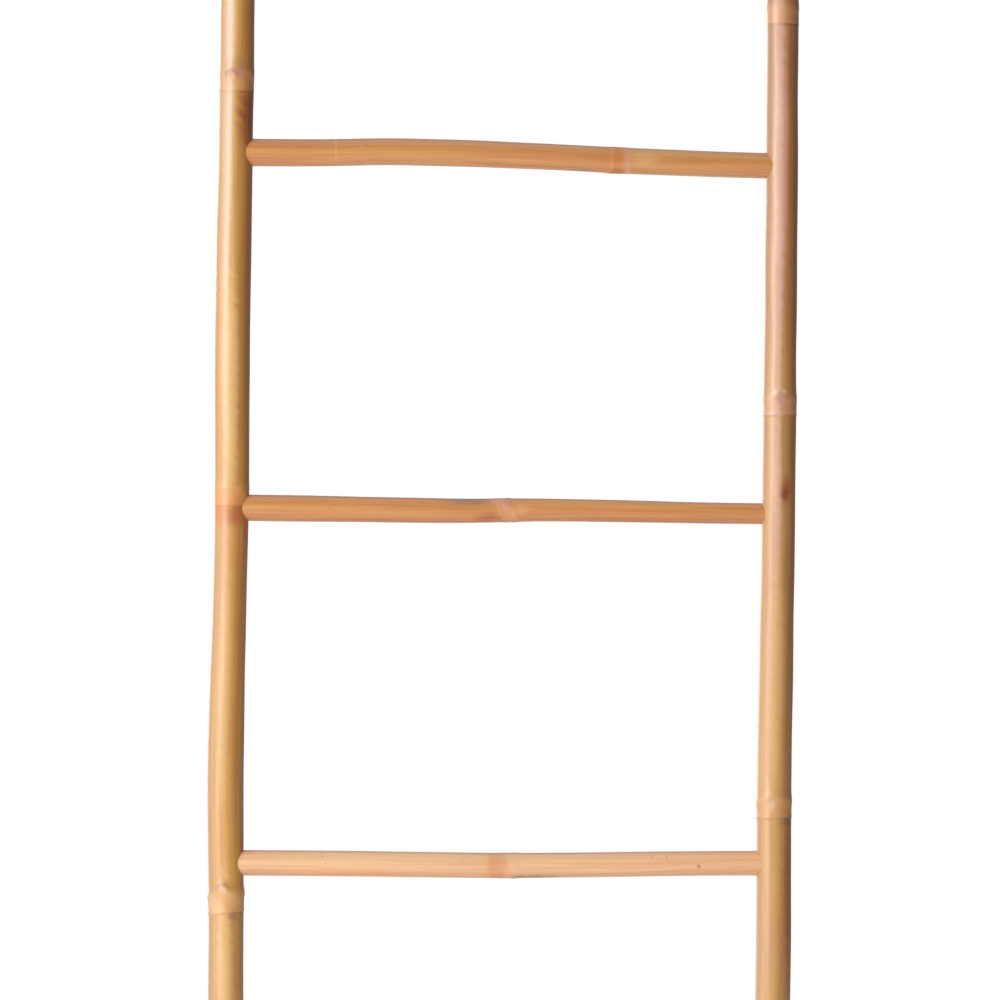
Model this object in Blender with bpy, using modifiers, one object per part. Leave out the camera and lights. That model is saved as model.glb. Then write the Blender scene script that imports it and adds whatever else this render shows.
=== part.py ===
"""Bamboo blanket ladder: two upright canes joined by round rungs, with one nail through each rung end.

Metres, +Z up, +X to the right, and the front faces -Y. The origin lies on the floor, midway between the feet.
Run with: blender --background --python part.py
"""

import math
from dataclasses import dataclass
from typing import Callable

import bmesh
import bpy
from mathutils import Matrix

# ---- Driving dimensions, in metres ----
LADDER_HEIGHT = 1.500
RAIL_SPACING = 0.470  # between the axes of the two rails
RAIL_DIAMETER = 0.030
RAIL_WALL = 0.0045

RUNG_COUNT = 5
END_BAY = 0.144  # from either end of the rails to the nearest rung
RUNG_DIAMETER = 0.022
RUNG_WALL = 0.0045
TENON_PAST_AXIS = 0.004  # how far a rung end runs beyond the axis of its rail
RUNG_END_STRAIGHT = 0.030  # the stretch from a rail's axis where a rung has no bow
RAIL_CHEEK = 0.0020  # the least rail left beside a socket: a rung end too thick for that is whittled down
SHOULDER_LENGTH = 0.002

NAIL_SHANK_DIAMETER = 0.0020
NAIL_HEAD_DIAMETER = 0.0044
NAIL_HEAD_THICKNESS = 0.0008
NAIL_POINT_LENGTH = 0.0030
NAIL_LENGTH = 0.0220  # from under the head to the point

VENT_DIAMETER = 0.005  # the hole punched through each diaphragm when the cane is cured
DIAPHRAGM_START = 0.005  # measured from the sheath scar towards the tip
DIAPHRAGM_THICKNESS = 0.005
DIAPHRAGM_TAPER = 0.003  # the stretch on both sides of a diaphragm where the bore narrows to the vent

SOCKET_CLEARANCE = 0.0003
NAIL_CLEARANCE = 0.0003
TENON_END_CLEARANCE = 0.0005

# ---- How finely the solids are faceted ----
RAIL_SIDES = 16
RUNG_SIDES = 12
BORE_SIDES = 10
NAIL_SIDES = 8
RING_STEP = 0.070  # between rings on a plain stretch of cane
RING_GAP = 0.012  # a plain ring keeps this far from a ring that shapes a node
CUTTER_OVERRUN = 0.005

# A cane node, as (distance past the sheath scar, rise of the surface): scar lip, dip, then the swollen ridge.
NODE_PROFILE = ((-0.008, 0.0), (0.0, 0.0005), (0.006, 0.0003), (0.014, 0.0011), (0.026, 0.0))

# ---- The natural shape of each cane ----
# scars: distances of its sheath scars. bow: (distance, offset of the axis), across on a rail and up on a rung.
# girth: (distance, share of the diameter), and girths: that share at a rung's left and right ends.
# grows: which way along a rung its tip lies, 1 to the right and -1 to the left. A rail grows upwards.
# Distances on a rail are heights above the floor, and on a rung they are X from the ladder's middle.
RAILS = {
    "left": {
        "side": -1,
        "scars": (0.077, 0.402, 0.752, 1.108, 1.448),
        "bow": (
            *((0.06, 0.0), (0.24, 0.0010), (0.40, -0.0006), (0.52, -0.0028)),
            *((0.75, 0.0), (0.88, -0.0012), (1.12, 0.0)),
        ),
        "girth": (
            *((0.0, 1.010), (0.40, 1.000), (0.50, 1.055), (0.70, 0.970)),
            *((0.88, 1.030), (1.06, 0.990), (1.48, 0.945)),
        ),
        "colour": (0.68, 0.41, 0.17),
    },
    "right": {
        "side": 1,
        "scars": (0.172, 0.489, 0.835, 1.171, 1.464),
        "bow": (
            *((0.06, 0.0), (0.38, 0.0006), (0.52, -0.0006), (0.75, 0.0003)),
            *((1.00, 0.0), (1.18, -0.0010), (1.42, 0.0)),
        ),
        "girth": (
            *((0.0, 1.015), (0.55, 1.005), (0.75, 0.980)),
            *((0.95, 0.943), (1.20, 0.915), (1.48, 0.900)),
        ),
        "colour": (0.66, 0.38, 0.16),
    },
}

# The rungs from the floor up. rises: how far the left and right ends lie above the rung's own height.
RUNGS = (
    {
        "scar": 0.062,
        "grows": 1,
        "rises": (0.0010, -0.0010),
        "bow": ((0.05, 0.0012),),
        "girths": (1.040, 0.980),
    },
    {
        "scar": -0.004,
        "grows": 1,
        "rises": (-0.0027, 0.0025),
        "bow": ((0.01, -0.0021),),
        "girths": (1.000, 0.955),
    },
    {
        "scar": -0.002,
        "grows": 1,
        "rises": (0.0, 0.0),
        "bow": ((-0.06, -0.0007), (0.05, 0.0012)),
        "girths": (1.030, 0.810),
    },
    {
        "scar": 0.106,
        "grows": -1,
        "rises": (0.0028, -0.0038),
        "bow": ((-0.08, 0.0043),),
        "girths": (1.070, 1.005),
    },
    {
        "scar": -0.070,
        "grows": 1,
        "rises": (-0.0008, 0.0012),
        "bow": ((-0.05, -0.0016),),
        "girths": (0.990, 0.930),
    },
)
RUNG_COLOUR = (0.63, 0.31, 0.13)
NAIL_COLOUR = (0.55, 0.54, 0.52)

RUNG_PITCH = (LADDER_HEIGHT - 2 * END_BAY) / (RUNG_COUNT - 1)


def blend(points, at, ease):
    """The value at a distance, blended between (distance, value) points and held flat past both ends."""
    if at <= points[0][0]:
        return points[0][1]
    for (start, low), (end, high) in zip(points, points[1:]):
        if at <= end:
            return low + (high - low) * ease((at - start) / (end - start))
    return points[-1][1]


def smooth(share):
    """Half a cosine wave: level at both ends, so a bow has no corners."""
    return (1 - math.cos(math.pi * share)) / 2


def straight(share):
    return share


@dataclass
class Cane:
    """A hollow cane along an axis curve, with a swollen node and a pierced diaphragm past each scar."""

    name: str
    start: float
    end: float
    scars: tuple
    girth: tuple  # (distance, outer radius) points
    wall: float
    sides: int
    axis: Callable  # gives the point of the axis at a distance
    limit: tuple = ((0.0, math.inf),)  # (distance, largest radius) points, where the cane is whittled to fit
    grows: int = 1  # 1 where the cane's tip lies at the end, -1 where it lies at the start

    def past_scar(self, at, scar):
        """How far a distance lies past a scar, towards the tip."""
        return self.grows * (at - scar)

    def radius(self, at):
        rise = sum(blend(NODE_PROFILE, self.past_scar(at, scar), straight) for scar in self.scars)
        return min(blend(self.girth, at, smooth) + rise, blend(self.limit, at, straight))

    def bore_radius(self, at):
        """The wall's inner radius, closing to the vent inside each diaphragm."""
        open_radius = blend(self.girth, at, smooth) - self.wall
        closing = (
            (-DIAPHRAGM_TAPER, open_radius),
            (0.0, VENT_DIAMETER / 2),
            (DIAPHRAGM_THICKNESS, VENT_DIAMETER / 2),
            (DIAPHRAGM_THICKNESS + DIAPHRAGM_TAPER, open_radius),
        )
        past = (self.past_scar(at, scar) - DIAPHRAGM_START for scar in self.scars)
        return min(blend(closing, distance, straight) for distance in past)

    def node_rings(self, offsets):
        """The distances that lie this far past each scar."""
        return [scar + self.grows * offset for scar in self.scars for offset in offsets]

    def stations(self, start, end, shaped):
        """Distances of the rings: both ends, those that shape the surface, and plain ones between."""
        fixed = [start, end] + [at for at in shaped if start + RING_GAP < at < end - RING_GAP]
        steps = math.ceil((end - start) / RING_STEP)
        plain = [start + (end - start) * step / steps for step in range(1, steps)]
        apart = [at for at in plain if min(abs(at - other) for other in fixed) > RING_GAP]
        return sorted(fixed + apart)


def new_collection(name, parent):
    collection = bpy.data.collections.new(name)
    parent.children.link(collection)
    return collection


def clear_scene():
    for obj in list(bpy.data.objects):
        bpy.data.objects.remove(obj)
    for collection in list(bpy.data.collections):
        bpy.data.collections.remove(collection)


def paint(obj, colour, roughness, metallic):
    material = bpy.data.materials.new(obj.name + "_finish")
    material.use_nodes = True
    shader = material.node_tree.nodes["Principled BSDF"]
    shader.inputs["Base Color"].default_value = (*colour, 1.0)
    shader.inputs["Roughness"].default_value = roughness
    shader.inputs["Metallic"].default_value = metallic
    obj.data.materials.append(material)


def shade_round(mesh):
    mesh.shade_smooth()
    mesh.set_sharp_from_angle(angle=math.radians(35))


def tube(name, collection, cane, sides, distances, radius_at):
    """A closed round solid along the cane's axis, as a mesh. radius_at gives its radius at a distance."""
    curve = bpy.data.curves.new(name, "CURVE")
    curve.dimensions = "3D"
    curve.bevel_depth = 1.0  # so that each point's radius is its real radius in metres
    curve.bevel_resolution = (sides - 4) // 2
    curve.use_fill_caps = True
    spline = curve.splines.new("POLY")
    spline.points.add(len(distances) - 1)
    for point, at in zip(spline.points, distances):
        point.co = (*cane.axis(at), 1.0)
        point.radius = radius_at(at)
    guide = bpy.data.objects.new(name + "_guide", curve)
    bpy.context.scene.collection.objects.link(guide)
    graph = bpy.context.evaluated_depsgraph_get()
    mesh = bpy.data.meshes.new_from_object(guide.evaluated_get(graph))
    mesh.name = name
    weld = bmesh.new()
    weld.from_mesh(mesh)
    bmesh.ops.remove_doubles(weld, verts=weld.verts, dist=0.00001)
    bmesh.ops.recalc_face_normals(weld, faces=weld.faces)
    weld.to_mesh(mesh)
    weld.free()
    obj = bpy.data.objects.new(name, mesh)
    collection.objects.link(obj)
    obj.matrix_world = guide.matrix_world
    bpy.data.objects.remove(guide)
    shade_round(mesh)
    return obj


def hide_cutter(obj):
    obj.hide_render = True
    obj.display_type = "WIRE"


def make_cane(cane, parts, cutters):
    """The solid cane, and a collection of its own for its cutters, which starts with its bore."""
    shaped = cane.node_rings([offset for offset, rise in NODE_PROFILE])
    shaped += [at for at, radius in cane.limit if radius < math.inf]
    rings = cane.stations(cane.start, cane.end, shaped)
    obj = tube(cane.name, parts, cane, cane.sides, rings, cane.radius)
    own_cutters = new_collection(cane.name + "_cutters", cutters)
    diaphragm_end = DIAPHRAGM_START + DIAPHRAGM_THICKNESS
    shaped = cane.node_rings(
        (
            DIAPHRAGM_START - DIAPHRAGM_TAPER,
            DIAPHRAGM_START,
            diaphragm_end,
            diaphragm_end + DIAPHRAGM_TAPER,
        )
    )
    bore_rings = cane.stations(cane.start - CUTTER_OVERRUN, cane.end + CUTTER_OVERRUN, shaped)
    hide_cutter(tube(cane.name + "_bore", own_cutters, cane, BORE_SIDES, bore_rings, cane.bore_radius))
    return obj, own_cutters


def cut_openings(obj, own_cutters):
    """Cuts the bore, the sockets and the nail holes in one step. It comes last, because it is slow."""
    cut = obj.modifiers.new("openings", "BOOLEAN")
    cut.operation = "DIFFERENCE"
    cut.solver = "EXACT"
    cut.operand_type = "COLLECTION"
    cut.collection = own_cutters


def rail_cane(label):
    """The upright cane on one side. Its distances are heights."""
    shape = RAILS[label]

    def axis(height):
        return (shape["side"] * RAIL_SPACING / 2 + blend(shape["bow"], height, smooth), 0.0, height)

    girth = tuple((height, share * RAIL_DIAMETER / 2) for height, share in shape["girth"])
    return Cane(f"rail_{label}", 0.0, LADDER_HEIGHT, shape["scars"], girth, RAIL_WALL, RAIL_SIDES, axis)


def rung_cane(number, rails):
    """The cross cane of this number, counted from the floor. Its distances are X."""
    shape = RUNGS[(number - 1) % len(RUNGS)]
    height = END_BAY + (number - 1) * RUNG_PITCH
    left_height, right_height = (height + rise for rise in shape["rises"])
    left_x = rails["left"].axis(left_height)[0]
    right_x = rails["right"].axis(right_height)[0]
    bow = (
        (left_x + RUNG_END_STRAIGHT, 0.0),
        *shape["bow"],
        (right_x - RUNG_END_STRAIGHT, 0.0),
    )

    def axis(x):
        chord = left_height + (right_height - left_height) * (x - left_x) / (right_x - left_x)
        return (x, 0.0, chord + blend(bow, x, smooth))

    start = left_x - TENON_PAST_AXIS
    end = right_x + TENON_PAST_AXIS
    left_girth, right_girth = shape["girths"]
    girth = ((start, left_girth * RUNG_DIAMETER / 2), (end, right_girth * RUNG_DIAMETER / 2))
    left_rail, right_rail = rails["left"].radius(left_height), rails["right"].radius(right_height)
    left_edge = left_x + left_rail + SOCKET_CLEARANCE
    right_edge = right_x - right_rail - SOCKET_CLEARANCE
    limit = (
        (left_edge, left_rail - RAIL_CHEEK - SOCKET_CLEARANCE),
        (left_edge + SHOULDER_LENGTH, RUNG_DIAMETER),
        (right_edge - SHOULDER_LENGTH, RUNG_DIAMETER),
        (right_edge, right_rail - RAIL_CHEEK - SOCKET_CLEARANCE),
    )
    scars, grows = (shape["scar"],), shape["grows"]
    return Cane(f"rung_{number}", start, end, scars, girth, RUNG_WALL, RUNG_SIDES, axis, limit, grows)


def cut_socket(rung, rail, side, rail_cutters):
    """The blind round socket in a rail, on the same axis as the rung end that sits in it."""
    if side < 0:
        end, edge = rung.start, rung.limit[0][0]
    else:
        end, edge = rung.end, rung.limit[-1][0]
    floor = end + side * TENON_END_CLEARANCE
    mouth = edge - side * CUTTER_OVERRUN
    widening = SOCKET_CLEARANCE / math.cos(math.pi / rung.sides)

    def radius_at(x):
        """The rung end's own radius, kept past the edge of the rail to where the cutter is clear of it."""
        inside = x if side * (x - edge) > 0 else edge
        return rung.radius(inside) + widening

    rings = sorted((floor, edge, mouth))
    socket = tube(f"{rung.name}_{rail.name}_socket", rail_cutters, rung, rung.sides, rings, radius_at)
    hide_cutter(socket)


def along_y(x, y, z):
    """Places a shape made along +Z so that it points to the back, +Y."""
    return Matrix.Translation((x, y, z)) @ Matrix.Rotation(math.radians(-90), 4, "X")


def make_nail(name, parts, place):
    """A round nail as a turned profile: under its head at the origin, its point down -Z."""
    shank = NAIL_SHANK_DIAMETER / 2
    head = NAIL_HEAD_DIAMETER / 2
    outline = (
        (0.0, NAIL_HEAD_THICKNESS),
        (head * 0.7, NAIL_HEAD_THICKNESS),
        (head, NAIL_HEAD_THICKNESS / 2),
        (head, 0.0),
        (shank, 0.0),
        (shank, NAIL_POINT_LENGTH - NAIL_LENGTH),
        (0.0, -NAIL_LENGTH),
    )
    mesh = bpy.data.meshes.new(name)
    edges = [(index, index + 1) for index in range(len(outline) - 1)]
    mesh.from_pydata([(x, 0.0, z) for x, z in outline], edges, [])
    nail = bpy.data.objects.new(name, mesh)
    parts.objects.link(nail)
    turn = nail.modifiers.new("turned", "SCREW")
    turn.steps = NAIL_SIDES
    turn.render_steps = NAIL_SIDES
    turn.use_merge_vertices = True
    turn.merge_threshold = 0.0001
    turn.use_smooth_shade = True
    nail.matrix_world = place
    return nail


def make_nail_hole(name, cutters, place, length):
    """A round cutter along the nail, from past its point to clear of the rail's back."""
    hole = bpy.data.meshes.new(name)
    radius = (NAIL_SHANK_DIAMETER / 2 + NAIL_CLEARANCE) / math.cos(math.pi / NAIL_SIDES)
    solid = bmesh.new()
    bmesh.ops.create_cone(
        solid,
        cap_ends=True,
        segments=NAIL_SIDES,
        radius1=radius,
        radius2=radius,
        depth=length,
        matrix=Matrix.Translation((0.0, 0.0, CUTTER_OVERRUN - length / 2)),
    )
    solid.to_mesh(hole)
    solid.free()
    obj = bpy.data.objects.new(name, hole)
    cutters.objects.link(obj)
    obj.matrix_world = place
    hide_cutter(obj)
    return obj


def nail_joint(number, label, rung, rail, parts, cutter_sets):
    """One nail from the back, through the rail's wall and the rung end, and its hole in both."""
    height = rung.axis(RAILS[label]["side"] * RAIL_SPACING / 2)[2]
    x = rail.axis(height)[0]
    z = rung.axis(x)[2]
    under_head = (z - NAIL_HEAD_DIAMETER / 2, z, z + NAIL_HEAD_DIAMETER / 2)
    seat = max(rail.radius(at) for at in under_head) + NAIL_CLEARANCE
    place = along_y(x, seat, z)
    nail = make_nail(f"nail_{label}_{number}", parts, place)
    length = NAIL_LENGTH + NAIL_CLEARANCE + CUTTER_OVERRUN
    hole = make_nail_hole(f"{nail.name}_hole", cutter_sets[rail.name], place, length)
    cutter_sets[rung.name].objects.link(hole)
    return nail


def build():
    clear_scene()
    scene_root = bpy.context.scene.collection
    parts = new_collection("bamboo_ladder", scene_root)
    cutters = new_collection("cutters", scene_root)
    ladder = bpy.data.objects.new("ladder_origin", None)
    parts.objects.link(ladder)

    rails = {label: rail_cane(label) for label in RAILS}
    made = []
    cutter_sets = {}
    for label, rail in rails.items():
        obj, cutter_sets[rail.name] = make_cane(rail, parts, cutters)
        paint(obj, RAILS[label]["colour"], roughness=0.28, metallic=0.0)
        made.append(obj)

    for number in range(1, RUNG_COUNT + 1):
        rung = rung_cane(number, rails)
        obj, cutter_sets[rung.name] = make_cane(rung, parts, cutters)
        paint(obj, RUNG_COLOUR, roughness=0.35, metallic=0.0)
        made.append(obj)
        for label, rail in rails.items():
            cut_socket(rung, rail, RAILS[label]["side"], cutter_sets[rail.name])
            nail = nail_joint(number, label, rung, rail, parts, cutter_sets)
            paint(nail, NAIL_COLOUR, roughness=0.40, metallic=1.0)
            made.append(nail)

    for obj in made:
        obj.parent = ladder
        if obj.name in cutter_sets:
            cut_openings(obj, cutter_sets[obj.name])


build()
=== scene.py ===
# %% [markdown]
# # A bamboo blanket ladder
# A blanket ladder is a tall open rack: two upright canes and round rungs between them, all of lacquered
# bamboo, with one nail driven from the back through each rung end. The frame gives the canes as plain
# faceted solids. This lesson measures them, covers each one with a finished cane, and varnishes the lot.

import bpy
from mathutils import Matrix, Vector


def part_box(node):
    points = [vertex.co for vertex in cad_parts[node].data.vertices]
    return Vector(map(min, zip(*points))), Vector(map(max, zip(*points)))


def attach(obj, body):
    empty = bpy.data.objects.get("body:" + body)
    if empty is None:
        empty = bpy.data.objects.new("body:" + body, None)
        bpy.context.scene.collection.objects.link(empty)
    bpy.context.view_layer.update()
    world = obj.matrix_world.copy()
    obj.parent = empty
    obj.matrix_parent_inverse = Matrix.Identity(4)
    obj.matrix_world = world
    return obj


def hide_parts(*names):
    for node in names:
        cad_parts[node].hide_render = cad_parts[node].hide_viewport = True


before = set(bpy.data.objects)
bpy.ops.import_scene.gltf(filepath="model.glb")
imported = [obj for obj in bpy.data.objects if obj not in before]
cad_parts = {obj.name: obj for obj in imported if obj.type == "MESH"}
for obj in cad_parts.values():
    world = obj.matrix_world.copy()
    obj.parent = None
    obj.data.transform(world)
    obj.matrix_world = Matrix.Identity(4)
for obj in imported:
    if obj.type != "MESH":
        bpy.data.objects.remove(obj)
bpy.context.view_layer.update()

# %% [markdown]
# ## The camera
# The ladder is seen square from the front, with a long lens from far away, so the canes stay parallel.
# The lens follows from the distance and from how much of the ladder the view takes in. The camera is
# turned a fraction of a degree about its own line of sight, so the ladder leans a little to the right.

# %% Camera
import math

import bpy
import numpy as np

VIEW_DISTANCE = 6.0
VIEW_WIDTH = 0.8603  # how much of the ladder's plane the view takes in, in metres
VIEW_CENTRE = (-0.0042, 0.7592)  # X and Z of the point in the middle of the view
VIEW_TURN = math.radians(-0.68)
SENSOR_WIDTH = 36.0  # millimetres

camera_data = bpy.data.cameras.new("front_view")
camera_data.sensor_width = SENSOR_WIDTH
camera_data.lens = SENSOR_WIDTH * VIEW_DISTANCE / VIEW_WIDTH
camera = bpy.data.objects.new("front_view", camera_data)
camera.location = (VIEW_CENTRE[0], -VIEW_DISTANCE, VIEW_CENTRE[1])
camera.rotation_euler = (math.pi / 2, VIEW_TURN, 0.0)
bpy.context.scene.collection.objects.link(camera)
bpy.context.scene.camera = camera
print(f"lens {camera_data.lens:.0f} mm")

# %% [markdown]
# ## Feeling the canes with callipers
# A lathe hand would measure a cane with callipers every few millimetres. Here a straight ray does that:
# it starts well outside a CAD node and stops where it first meets the solid. On a rail, a ray from the
# outer side and one from the front give the axis and the radius. On a rung, rays from above and below do.
# Those rays always land on a corner of the faceted ring, so they read its true radius.

# %% Callipers
from mathutils import Vector
from mathutils.bvhtree import BVHTree

FAR = 3.0  # metres: where a feeler starts
OFF_SEAM = 1e-6  # keeps a feeler off the exact edge between two facets
CALLIPER_STEP = 0.005
END_CLEARANCE = 0.0005  # a feeler stays this far from the end of a cane
GUESSES = 3  # a rail's front feeler needs the axis, and the axis needs the radius, so both are refined

depsgraph = bpy.context.evaluated_depsgraph_get()
solids = {name: BVHTree.FromObject(node, depsgraph) for name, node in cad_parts.items()}


def feel(name, start, direction):
    """The point where a straight feeler first meets a CAD node."""
    place = solids[name].ray_cast(Vector(start), Vector(direction))[0]
    if place is None:
        raise ValueError(f"the feeler misses {name} from {start}")
    return np.array(place)


def calliper_stations(low, high):
    """Even distances from end to end of a cane, about a calliper step apart."""
    return np.linspace(low + END_CLEARANCE, high - END_CLEARANCE, round((high - low) / CALLIPER_STEP))


def measure_rail(name):
    """Heights, and the axis point and radius at each: the side's X less the radius, and the front's depth."""
    low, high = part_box(name)
    heights = calliper_stations(low[2], high[2])
    outward = math.copysign(1.0, low[0] + high[0])
    radius = (high[1] - low[1]) / 2
    centres, radii = [], []
    for height in heights:
        edge = feel(name, (outward * FAR, OFF_SEAM, height), (-outward, 0, 0))[0]
        for _ in range(GUESSES):
            centre = edge - outward * radius
            radius = -feel(name, (centre, -FAR, height), (0, 1, 0))[1]
        centres.append((centre, 0.0, height))
        radii.append(radius)
    return heights, np.array(centres), np.array(radii)


def measure_rung(name):
    """X positions, and the axis point and radius at each: the mean and half the difference of two heights."""
    low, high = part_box(name)
    places = calliper_stations(low[0], high[0])
    centres, radii = [], []
    for x in places:
        top = feel(name, (x, OFF_SEAM, FAR), (0, 0, -1))[2]
        under = feel(name, (x, OFF_SEAM, -FAR), (0, 0, 1))[2]
        centres.append((x, 0.0, (top + under) / 2))
        radii.append((top - under) / 2)
    return places, np.array(centres), np.array(radii)


print("rung_3 mean radius", round(float(measure_rung("rung_3")[2].mean()) * 1000, 2), "mm")

# %% [markdown]
# ## What a cane is like
# A cane is a tube that grows in stages. Where a sheath once sat, it leaves a thin sharp ring, the scar.
# Past the scar, towards the tip, comes a short waist and then a swollen ridge, and between them sits a
# bud on one side. Over the bud the ridge lifts like an eyebrow, and above it the cane has a shallow groove.
# So each node is written down as the distance of its scar, the side its bud is on, how the scar tilts, how
# full its ridge is, and the colours of its band, its bud and its scar. Angles go round from the front: to
# the right on a rail, and downwards on a rung.

# %% The canes and their nodes
from dataclasses import dataclass

FRONT = np.array((0.0, -1.0, 0.0))
RAIL_GRID, RUNG_GRID = (60, 0.0026), (48, 0.0022)  # points round the skin, and metres between its rows
WALL = 0.0045
NODE_REACH = (-0.010, 0.028)  # metres that a node's own shape goes, before and past the scar
SETTLE_WIDTH = 13  # calliper steps that a running average takes in


@dataclass
class Node:
    """One node: where its sheath scar lies, the side its bud is on, its shape, and how it is coloured."""

    scar: float  # metres up a rail, or X on a rung
    bud: float  # degrees round from the front
    tilt: float = 0.0  # metres that the scar rises on one side
    swell: float = 1.0  # share of a full ridge
    band: tuple = ("peach", 0.55)  # tint and strength between scar and ridge
    eye: tuple = ("mauve", 0.70)  # tint and strength on the bud
    line: float = 0.45  # darkness of the scar
    brow: float = 0.8  # strength of the dark arch over the bud, and share of the bud's relief
    lift: float = 0.0118  # metres from the scar to the middle of the bud, on a cane as thick as a rail


@dataclass
class Cane:
    """One cane as measured: stations along it, the axis point and plain radius at each, and its nodes."""

    name: str
    stations: np.ndarray
    centres: np.ndarray
    radii: np.ndarray
    nodes: tuple
    grows: int  # 1 where the tip is at the far end, -1 where it is at the near end
    seed: int

    def __post_init__(self):
        self.is_rail = self.name.startswith("rail")
        self.axis = 2 if self.is_rail else 0
        self.direction = np.eye(3)[self.axis]
        self.side = np.cross(self.direction, FRONT)
        self.columns, self.row_step = RAIL_GRID if self.is_rail else RUNG_GRID
        self.span = tuple(corner[self.axis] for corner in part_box(self.name))

    def centre_at(self, along):
        """The axis point at a distance: read between the stations across the cane, and exact along it."""
        centre = np.stack([np.interp(along, self.stations, column) for column in self.centres.T], axis=-1)
        centre[..., self.axis] = along
        return centre

    def radius_at(self, along):
        return np.interp(along, self.stations, self.radii)


def settle(stations, values, keep=slice(None)):
    """The values with the nodes bridged in a straight line, then eased by a bell-weighted average."""
    bridged = np.interp(stations, stations[keep], values[keep])
    weights = np.hanning(SETTLE_WIDTH + 2)[1:-1]
    padded = np.pad(bridged, SETTLE_WIDTH // 2, mode="edge")
    return np.convolve(padded, weights / weights.sum(), mode="valid")


def measured_cane(name, nodes, grows, seed):
    """Measures a CAD cane, leaves its nodes out of the girth, and eases the axis and the girth."""
    stations, centres, radii = (measure_rail if name.startswith("rail") else measure_rung)(name)
    keep = np.ones(len(stations), bool)
    for node in nodes:
        past = grows * (stations - node.scar)
        keep &= (past < NODE_REACH[0]) | (past > NODE_REACH[1])
    centres = np.stack([settle(stations, column) for column in centres.T], axis=-1)
    return Cane(name, stations, centres, settle(stations, radii, keep), nodes, grows, seed)


LEFT_NODES = (
    Node(0.077, 170, 0.0004),
    Node(0.402, -11, 0.002, 0.9, ("peach", 0.6), ("beige", 0.4), 0.6, 0.6, 0.0195),
    Node(0.752, 176, 0.0003, 0.3, ("apricot", 0.75), line=0.1),
    Node(1.108, -16, -0.0002, 0.3, ("peach", 0.55), ("brown", 0.3), 0.6, 0.5, 0.0125),
    Node(1.448, 165, 0.0005, 0.8),
)
RIGHT_NODES = (
    Node(0.172, 178, -0.0004),
    Node(0.489, -8, 0.0004, 0.6, ("peach", 0.6), ("beige", 0.7), 0.85, 0.1),
    Node(0.835, 4, 0.0002, 0.5, ("pink", 0.5), ("mauve", 0.65), 0.35, 0.25, 0.014),
    Node(1.171, 172, -0.0003, 0.4, ("peach", 0.65), line=0.85),
    Node(1.464, 4, 0.0003, 0.8),
)
RUNG_NODES = (
    Node(0.062, -30, 0.0004),
    Node(0.001, 158, 0.0003, 0.5, ("pink", 0.2), line=0.08),
    Node(-0.004, -46, 0.0035, 0.6, ("pink", 0.25), line=0.08, brow=0.3),
    Node(0.101, 84, 0.0008, 0.4, ("orange", 0.45), ("brown", 0.6), 0.08),
    Node(-0.07, 140, -0.0004),
)
TURNED_ROUND = "rung_4"  # this rung's tip points left, and the others' point right
canes = [measured_cane("rail_left", LEFT_NODES, 1, 11), measured_cane("rail_right", RIGHT_NODES, 1, 12)]
for number, node in enumerate(RUNG_NODES, 1):
    name = f"rung_{number}"
    canes.append(measured_cane(name, (node,), -1 if name == TURNED_ROUND else 1, 20 + number))
for cane in canes:
    print(cane.name, "plain radius in mm:", *(np.array((cane.radii.min(), cane.radii.max())) * 1000).round(2))

# %% [markdown]
# ## The skin as a formula
# Every point of a cane's skin follows from two numbers: how far along the cane it lies and how far round.
# The radius there is the plain girth, plus a slight oval and slow unevenness, plus the shape of the node.
# The rises are sums of bell curves, because a bell has no corners and so varnish can flow over it.

# %% Skin radius
UNEVEN = 0.00010  # metres: how much a single slow wave lifts the skin
SHORTEST_WAVE = 0.35  # share of the longest
OVAL = 0.0070  # share of the radius
FULL_RADIUS = 0.015  # a node's measures below are for a cane this thick, in metres
SCAR_WOBBLE = 0.00018
SCAR_SOFTNESS = 0.00018  # metres over which the sharp edge of a scar turns
FLARE = (0.00016, 0.0030)  # height, length
LIP = (0.00018, 0.00032, 0.0011)  # height, extra height with a full ridge, length
WAIST = (0.00040, 0.00020, 0.0200, 0.0028)  # height, softness of its start, its end, softness of its end
RIDGE = (0.0150, 0.00078, 0.0043)  # place past the scar, height, width
RIDGE_OVER_BUD = (0.0058, 0.0066)  # how much further off the ridge lies there, width of that stretch
BUD_OVAL = (0.0042, 0.0048)  # half width and half length
BUD_RELIEF = ((0.00034, 0.0, 1.7), (0.00022, 1.0, 0.34), (-0.00030, 0.0, 0.6))  # mound, rim, dimple
LEAST_BUD = 0.25  # share of the relief that a bud without a brow keeps
GROOVE = (0.00034, 0.0046, 0.030, 0.0035, 0.085)  # depth, width, start, softness of its start, length


def bell(distance, width):
    """1 at the middle, falling off on both sides: e to the minus square of the distance over the width."""
    return np.exp(-((distance / width) ** 2))


def step_up(distance, width):
    """An S-shaped rise from 0 to 1: one over one plus e to the minus distance over the width."""
    return 1 / (1 + np.exp(-np.clip(distance / width, -60, 60)))


def wrapped(turn):
    """An angle brought between minus half a turn and half a turn."""
    return (turn + math.pi) % (2 * math.pi) - math.pi


def waves(along, turn, seed, longest, count=6, most_turns=3):
    """A sum of slanted sine waves of random length and phase, over the square root of their number.

    Each has a whole number of crests round the cane, so it meets itself there.
    """
    random = np.random.default_rng(seed)
    total = 0.0
    for _ in range(count):
        length = longest * random.uniform(SHORTEST_WAVE, 1.0)
        crests = random.integers(0, most_turns + 1)
        phase = random.uniform(0, 2 * math.pi)
        total = total + np.sin(2 * math.pi * along / length + crests * turn + phase)
    return total / math.sqrt(count)


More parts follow.
